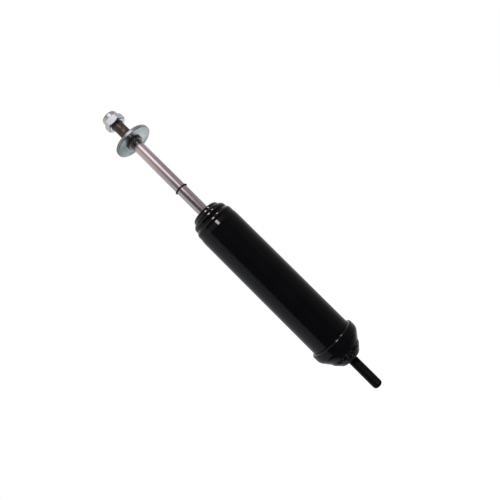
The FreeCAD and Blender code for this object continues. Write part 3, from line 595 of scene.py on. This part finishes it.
# %% Rod
PIN_RADIUS, PIN_EDGE, PIN_LENGTH = 5.0, 0.8, 42.16
GROOVE_ROOT, GROOVE_EDGE = 6.4, 0.2
STOP_GROOVE_FOOT, STOP_GROOVE_TOP = 50.18, 54.18  # above the foot of the rod
CHROME_STOP = 0.6  # below the top of the washer's groove
rod_foot, rod_top = foot("piston_rod"), top("piston_rod")
groove_foot, groove_top = foot("washer_collar") - SEAT_GAP, top("washer_collar") + SEAT_GAP
chrome_end = groove_top - CHROME_STOP
rod = turned("chromed_rod", [
    (0.0, rod_foot), (PIN_RADIUS, rod_foot, PIN_EDGE), (PIN_RADIUS, rod_foot + PIN_LENGTH),
    (ROD_RADIUS, rod_foot + PIN_LENGTH, EDGE), (ROD_RADIUS, rod_foot + STOP_GROOVE_FOOT),
    (GROOVE_ROOT, rod_foot + STOP_GROOVE_FOOT), (GROOVE_ROOT, rod_foot + STOP_GROOVE_TOP),
    (ROD_RADIUS, rod_foot + STOP_GROOVE_TOP), (ROD_RADIUS, groove_foot, GROOVE_EDGE),
    (GROOVE_ROOT, groove_foot), (GROOVE_ROOT, chrome_end), (0.0, chrome_end)], NARROW)
settle(rod, "rod_assembly", "piston_rod", "hard_chrome")

# %% Upper stud
UPPER_PITCH, UPPER_DEPTH = 1.5, 0.8
# From just below the nut the crest is smaller, so that the nut has play.
NUT_CREST, NUT_CREST_START, NUT_CREST_CONE = 6.8, 0.3, 0.1
RUN_OUT = 1.0
TIP_RADIUS, TIP_CHAMFER, TIP_RUN_OUT = 5.6, 1.3, 0.4
thread_foot = groove_top + RUN_OUT
step = foot("lock_nut") - NUT_CREST_START
stud = turned("upper_stud_thread", [
    (0.0, chrome_end), (GROOVE_ROOT, chrome_end), (GROOVE_ROOT, groove_top), (ROD_RADIUS, groove_top)]
    + rings(ROD_RADIUS, thread_foot, step, UPPER_PITCH)
    + rings(NUT_CREST, step + NUT_CREST_CONE, rod_top - TIP_CHAMFER, UPPER_PITCH)
    + [(TIP_RADIUS, rod_top, EDGE), (0.0, rod_top)], THREADED)
cut_thread(stud, NUT_CREST, UPPER_PITCH, UPPER_DEPTH, thread_foot, rod_top - TIP_RUN_OUT)
settle(stud, "rod_assembly", "piston_rod", "dark_steel")

# %% [markdown]
# ## Collar, washer and travel ring
# A dark collar in the rod's groove carries a thick zinc plated washer, and a thin rubber ring on the rod
# marks how far it travels. They are turned from short sections; the washer is blanked in a press, so
# its edges are rounded on the side that the punch entered and sharper on the other.

# %% Collar
COLLAR_RADIUS, COLLAR_EDGE = 10.2, 0.6
collar_bore = GROOVE_ROOT + SEAT_GAP
collar_foot, collar_top = foot("washer_collar"), top("washer_collar")
collar = turned("washer_collar_ring", [
    (collar_bore, collar_foot), (COLLAR_RADIUS, collar_foot, COLLAR_EDGE), (COLLAR_RADIUS, collar_top, EDGE),
    (collar_bore, collar_top)])
settle(collar, "rod_assembly", "washer_collar", "dark_steel")

# %% Washer
WASHER_BORE, WASHER_BORE_EDGE = 7.9, 0.6
SHARPER_EDGE, PUNCHED_EDGE = 0.45, 0.9
washer_foot, washer_top, washer_edge = foot("upper_washer"), top("upper_washer"), reach("upper_washer")
washer = turned("plated_washer", [
    (WASHER_BORE, washer_foot, EDGE), (washer_edge, washer_foot, SHARPER_EDGE),
    (washer_edge, washer_top, PUNCHED_EDGE), (WASHER_BORE, washer_top, WASHER_BORE_EDGE)], WIDE)
settle(washer, "upper_washer", "upper_washer", "zinc_plate")

# %% Travel ring
RING_SECTION = 0.75  # radius of the rubber cord
RING_SEAM = 3  # degrees from outward to the first corner and from the last
RING_STEPS = 22
ring_height = (foot("travel_ring") + top("travel_ring")) / 2
ring_middle = reach("travel_ring") - RING_SECTION
ring = turned("rubber_travel_ring",
              arc(ring_middle, ring_height, RING_SECTION, RING_SEAM, 360 - RING_SEAM, RING_STEPS), NARROW)
settle(ring, "travel_ring", "travel_ring", "seal_rubber")

# %% [markdown]
# ## The lock nut
# A hexagon nut with a round collar that is rolled over a nylon ring. The bevels of a real nut are cones
# that the flats cut into curved lines. So the nut is turned first, with its cones, collar and bore, and
# then cut to a hexagon by a Boolean with a six-sided bar. The long edges of the bar are bevelled
# a little, as no real edge is quite sharp.

# %% Turned blank of the nut
HEX_HEIGHT = 9.0
NUT_BORE, NUT_MOUTH, NUT_MOUTH_DEPTH = 7.1, 8.0, 0.9
NUT_FACE, NUT_CORNERS, NUT_CONE = 10.3, 12.8, 1.44
NUT_COLLAR, COLLAR_FILLET, COLLAR_ROUND = 10.15, 0.4, 1.8
LIP_BORE, LIP_THICKNESS = 8.1, 1.0
INSERT_POCKET, POCKET_DEPTH = 9.15, 4.5
nut_foot, nut_top = foot("lock_nut"), top("lock_nut")
hex_top = nut_foot + HEX_HEIGHT
under_lip, pocket_foot = nut_top - LIP_THICKNESS, nut_top - POCKET_DEPTH
nut = turned("lock_nut_hexagon", [
    (NUT_BORE, nut_foot + NUT_MOUTH_DEPTH), (NUT_MOUTH, nut_foot), (NUT_FACE, nut_foot),
    (NUT_CORNERS, nut_foot + NUT_CONE), (NUT_CORNERS, hex_top - NUT_CONE), (NUT_FACE, hex_top),
    (NUT_COLLAR, hex_top, COLLAR_FILLET), (NUT_COLLAR, nut_top, COLLAR_ROUND), (LIP_BORE, nut_top, EDGE),
    (LIP_BORE, under_lip), (INSERT_POCKET, under_lip), (INSERT_POCKET, pocket_foot),
    (NUT_BORE, pocket_foot)], NARROW)
print("blank of the nut:", len(nut.data.polygons), "faces")

# %% Six-sided bar
HALF_FLATS = 11.0
BAR_LENGTH, BAR_MIDDLE = 30.0, 7.0  # the middle is given above the foot of the nut
BAR_EDGE, BAR_FACETS = 0.35, 3  # bevel of its long edges
UPRIGHT = 0.9  # least upward share of an edge along the bar
bpy.ops.object.select_all(action="DESELECT")
bpy.ops.mesh.primitive_cylinder_add(
    vertices=6, radius=HALF_FLATS * MM / math.cos(math.radians(30)), depth=BAR_LENGTH * MM,
    location=(0.0, 0.0, (nut_foot + BAR_MIDDLE) * MM), rotation=(0.0, 0.0, math.radians(30)))
bar = bpy.context.object
bpy.ops.object.transform_apply(location=True, rotation=True, scale=True)
bpy.ops.object.mode_set(mode="EDIT")
shape = bmesh.from_edit_mesh(bar.data)
for side in shape.edges:
    side.select = abs((side.verts[0].co - side.verts[1].co).normalized().z) > UPRIGHT
bmesh.update_edit_mesh(bar.data)
bpy.ops.mesh.bevel(offset=BAR_EDGE * MM, segments=BAR_FACETS, affect="EDGES")
bpy.ops.object.mode_set(mode="OBJECT")
print("bar:", 2 * HALF_FLATS, "mm across its flats")

# %% Cut the flats
NUT_MERGE = 0.01
FLAT_SHARP = math.radians(24)  # edges that turn more than this stay sharp
make_active(nut)
trim = nut.modifiers.new("six_flats", "BOOLEAN")
trim.operation = "INTERSECT"
trim.solver = "EXACT"
trim.object = bar
bpy.ops.object.modifier_apply(modifier="six_flats")
bpy.data.objects.remove(bar)
close_skin(NUT_MERGE * MM, FLAT_SHARP, dissolve=True)
settle(nut, "lock_nut", "lock_nut", "zinc_plate")

# %% Nylon ring
INSERT_EDGE = 0.5
insert_bore, insert_radius = ROD_RADIUS + FIT, INSERT_POCKET - FIT
insert_foot, insert_top = foot("nut_insert"), top("nut_insert")
insert = turned("nylon_ring", [
    (insert_bore, insert_foot, EDGE), (insert_radius, insert_foot), (insert_radius, insert_top),
    (insert_bore, insert_top, INSERT_EDGE)])
settle(insert, "nut_carrier", "nut_insert", "nylon")

# %% [markdown]
# ## The star springs
# Inside the damper, two star springs press the check plates on their seats. When a plate lifts, the
# six fingers of its spring bend flat. The solids of the frame cannot bend, so the plate would cut into them.
# Each spring is therefore copied, its loose triangles are merged into one skin, and it gets a mesh of its
# own.
# A shape key could do the bending, but it would need a driver.


def star_spring(name, node, body):
    """A copy of a spring of the frame, merged into one skin, on its body and with a mesh of its own."""
    piece = bpy.data.objects.new(name, frame["nodes"][node].data.copy())
    bpy.context.collection.objects.link(piece)
    piece.matrix_world = frame["nodes"][node].matrix_world
    make_active(piece)
    bpy.ops.object.transform_apply(location=True, rotation=True, scale=True)
    close_skin(MERGE, FLAT_SHARP)
    settle(piece, body, node, "spring_steel")
    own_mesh(piece)
    return piece


intake_star = star_spring("intake_star_spring", "intake_spring", "rod_assembly")
base_star = star_spring("base_star_spring", "base_check_spring", "tube_assembly")

# %% [markdown]
# ## Finishes
# Every material starts from the same shader, with one noise that makes its colour uneven and its gloss
# with it, and one for the small relief that the hand would feel. One finish also gets light flecks from a
# second noise, which are painted glints. Sizes are given as the length of a ripple in millimetres. Painted
# image textures would also do, but a noise in the piece's own coordinates has no seam and needs no
# unwrapping.

# %% Finish helper
PER_METRE = 1000.0  # millimetres in a metre, the unit of a noise of scale 1
CLOUD_LOW, CLOUD_HIGH = 0.35, 0.65  # levels of the noise that take the two colours
WEAR_LOW, WEAR_HIGH = 0.3, 0.7  # levels of the noise that take the two ends of the gloss
# Painted glints: light specks that stand in for highlights on a rough forging.
GLINT_SIZE, GLINT_START, GLINT_FULL = 2.2, 0.61, 0.68  # millimetres, and levels of the second noise


def finish(name, dark, light, patch, gloss, grain, relief,
           metallic=0.0, stretch=(1.0, 1.0, 1.0), shine=0.5, painted_glint=None):
    """A material: two hex colours in patches, a range of roughness, and a relief with its grain, in mm."""
    made = bpy.data.materials.new(name)
    made.use_nodes = True
    tree = made.node_tree
    shader = tree.nodes["Principled BSDF"]
    shader.inputs["Metallic"].default_value = metallic
    shader.inputs["Specular IOR Level"].default_value = shine
    where = add_node(tree, "ShaderNodeTexCoord").outputs["Object"]
    clouds = add_node(tree, "ShaderNodeTexNoise", {
        "Vector": where, "Scale": PER_METRE / patch, "Detail": 4.0})
    spread, stops = clouds.outputs[0], [(CLOUD_LOW, dark), (CLOUD_HIGH, light)]
    # Painted glints: a second, finer noise puts light specks into the colour.
    if painted_glint:
        glint_noise = add_node(tree, "ShaderNodeTexNoise", {
            "Vector": where, "Scale": PER_METRE / GLINT_SIZE, "Detail": 1.0})
        spread, stops = glint_noise.outputs[0], [(0.0, dark), (GLINT_START, light), (GLINT_FULL, painted_glint)]
    tree.links.new(add_ramp(tree, spread, stops), shader.inputs["Base Color"])
    wear = add_node(tree, "ShaderNodeMapRange", {
        "Value": clouds.outputs[0], "From Min": WEAR_LOW, "From Max": WEAR_HIGH,
        "To Min": gloss[0], "To Max": gloss[1]})
    tree.links.new(wear.outputs[0], shader.inputs["Roughness"])
    drawn = add_node(tree, "ShaderNodeMapping", {"Vector": where, "Scale": stretch})
    ripple = add_node(tree, "ShaderNodeTexNoise", {
        "Vector": drawn.outputs[0], "Scale": PER_METRE / grain, "Detail": 3.0})
    bump = add_node(tree, "ShaderNodeBump", {
        "Height": ripple.outputs[0], "Strength": 1.0, "Distance": relief * MM})
    tree.links.new(bump.outputs[0], shader.inputs["Normal"])
    print(name, "colour", dark, "to", light)
    return made


# %% [markdown]
# Each finish is named for its material and how that was made, and for the painted light that two of them
# hold. The metals keep the usual index of refraction and differ in colour and gloss. Grinding, turning and
# sintering leave marks far finer than a pixel here, so these are drawn coarser than the real ones, just
# enough to break up a mirror image.

# %% Materials of the slots
FINISHES = {
    # Sprayed and stoved enamel: deep black, a sharp mirror image, and the faint ripple called orange peel.
    "gloss_black_paint": finish(
        "gloss_black_enamel", "050507", "09090b", patch=30.0, gloss=(0.06, 0.1), grain=4.0, relief=0.003),
    # A thin paint on a thread: black, with little gloss left on the crests.
    "black_stud": finish(
        "black_coated_thread", "070708", "0c0c0d", patch=6.0, gloss=(0.28, 0.4), grain=0.8, relief=0.004,
        shine=0.2),
    # Hard chrome ground round the rod: a bright mirror that is drawn out along the rod.
    "hard_chrome": finish(
        "ground_hard_chrome", "c6bfc1", "d0cacb", patch=40.0, gloss=(0.2, 0.22), grain=3.0, relief=0.0003,
        metallic=1.0, stretch=(0.05, 0.05, 4.0)),
    # Bare steel under old oil: brown, with a dull sheen.
    "dark_steel": finish(
        "oiled_dark_steel", "786d68", "92867f", patch=5.0, gloss=(0.34, 0.42), grain=0.6, relief=0.002,
        metallic=0.8),
    # Passivated zinc: a cloudy bluish grey with a soft sheen.
    "zinc_plate": finish(
        "bluish_zinc_plate", "a0aeb0", "b2bcbe", patch=12.0, gloss=(0.28, 0.34), grain=3.0, relief=0.002,
        metallic=1.0),
    # Moulded nylon: a warm milky white.
    "nylon": finish(
        "natural_nylon", "d8d4c6", "e6e2d6", patch=8.0, gloss=(0.35, 0.5), grain=0.8, relief=0.01),
    # Moulded nitrile rubber: matt black.
    "seal_rubber": finish(
        "nitrile_rubber", "101011", "1a1a1b", patch=3.0, gloss=(0.5, 0.7), grain=0.4, relief=0.02),
    # Turned steel: bright, with rings from the tool.
    "bright_steel": finish(
        "machined_steel", "a8a8aa", "bcbcbe", patch=10.0, gloss=(0.2, 0.32), grain=0.4, relief=0.004,
        metallic=1.0, stretch=(0.1, 0.1, 3.0)),
    # Pressed and sintered iron powder: dull, dark grey and finely pitted.
    "sintered_iron": finish(
        "sintered_iron", "5e5e60", "7a7a7a", patch=1.2, gloss=(0.45, 0.65), grain=0.25, relief=0.03,
        metallic=0.9),
    # Turned bronze: warm yellow brown, with rings from the tool.
    "bronze": finish(
        "turned_bronze", "a8824a", "c49a5c", patch=6.0, gloss=(0.22, 0.36), grain=0.4, relief=0.004,
        metallic=1.0, stretch=(0.1, 0.1, 3.0)),
    # A plastic tape filled with bronze powder: matt brown with a fine speckle.
    "filled_ptfe": finish(
        "bronze_filled_ptfe", "4a3a2c", "5e4a38", patch=0.9, gloss=(0.4, 0.55), grain=0.3, relief=0.01),
    # Hardened strip and wire: blue grey, half bright.
    "spring_steel": finish(
        "hardened_spring_steel", "5a5c64", "74767c", patch=7.0, gloss=(0.25, 0.4), grain=0.5, relief=0.004,
        metallic=1.0),
}

# %% Materials of single pieces
OWN = {
    # The same enamel on a rough forging, with light specks that are painted glints.
    retainer: finish(
        "enamel_forging_with_painted_glints", "050507", "0a0a0c", patch=30.0, gloss=(0.1, 0.18), grain=4.0, relief=0.4,
        painted_glint="4c5056"),
    # Fresh zinc on a new nut: lighter and brighter than the rest.
    nut: finish(
        "bright_zinc_plate", "c2c8ca", "ced4d6", patch=14.0, gloss=(0.2, 0.24), grain=3.0, relief=0.002,
        metallic=1.0),
    # Zinc on a flat blank: wide clouds, darker to one side, where the darkness is painted shade.
    washer: finish(
        "zinc_plate_painted_shade", "c2caca", "748386", patch=45.0, gloss=(0.28, 0.34), grain=3.0, relief=0.002,
        metallic=1.0),
    # Phosphated steel: a neutral grey that goes dark where the washer shades it.
    collar: finish(
        "phosphated_steel", "86827c", "96928c", patch=5.0, gloss=(0.34, 0.42), grain=0.6, relief=0.002,
        metallic=0.8),
}

# %% Give every piece its finish
pieces = [tube, cap, wiper, cup, retainer, lower, rod, stud, collar, washer, ring, nut, insert,
          intake_star, base_star]
for piece in pieces:
    piece.data.materials.clear()
    piece.data.materials.append(OWN.get(piece, FINISHES[piece["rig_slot"]]))
for row in frame["record"]["subparts"]:
    mesh = frame["nodes"][row["node"]].data
    mesh.materials.clear()
    mesh.materials.append(FINISHES[row["material_slot"]])

# %% [markdown]
# ## Which lamp lights what
# Light linking is a lamp's own list of the pieces that it lights or leaves out. The cards light only the
# bright metal, and the softboxes light everything else. One dimmer lamp for all would be simpler,
# but then the lights on the cap would be lost.

# %% Light linking
bright_metal = bpy.data.collections.new("bright_metal")
all_but_bright_metal = bpy.data.collections.new("all_but_bright_metal")
for piece in (rod, nut, washer):
    bright_metal.objects.link(piece)
    all_but_bright_metal.objects.link(piece)
for entry in all_but_bright_metal.collection_objects:
    entry.light_linking.link_state = "EXCLUDE"
for card in cards:
    card.light_linking.receiver_collection = bright_metal
for lamp in (front, right):
    lamp.light_linking.receiver_collection = all_but_bright_metal
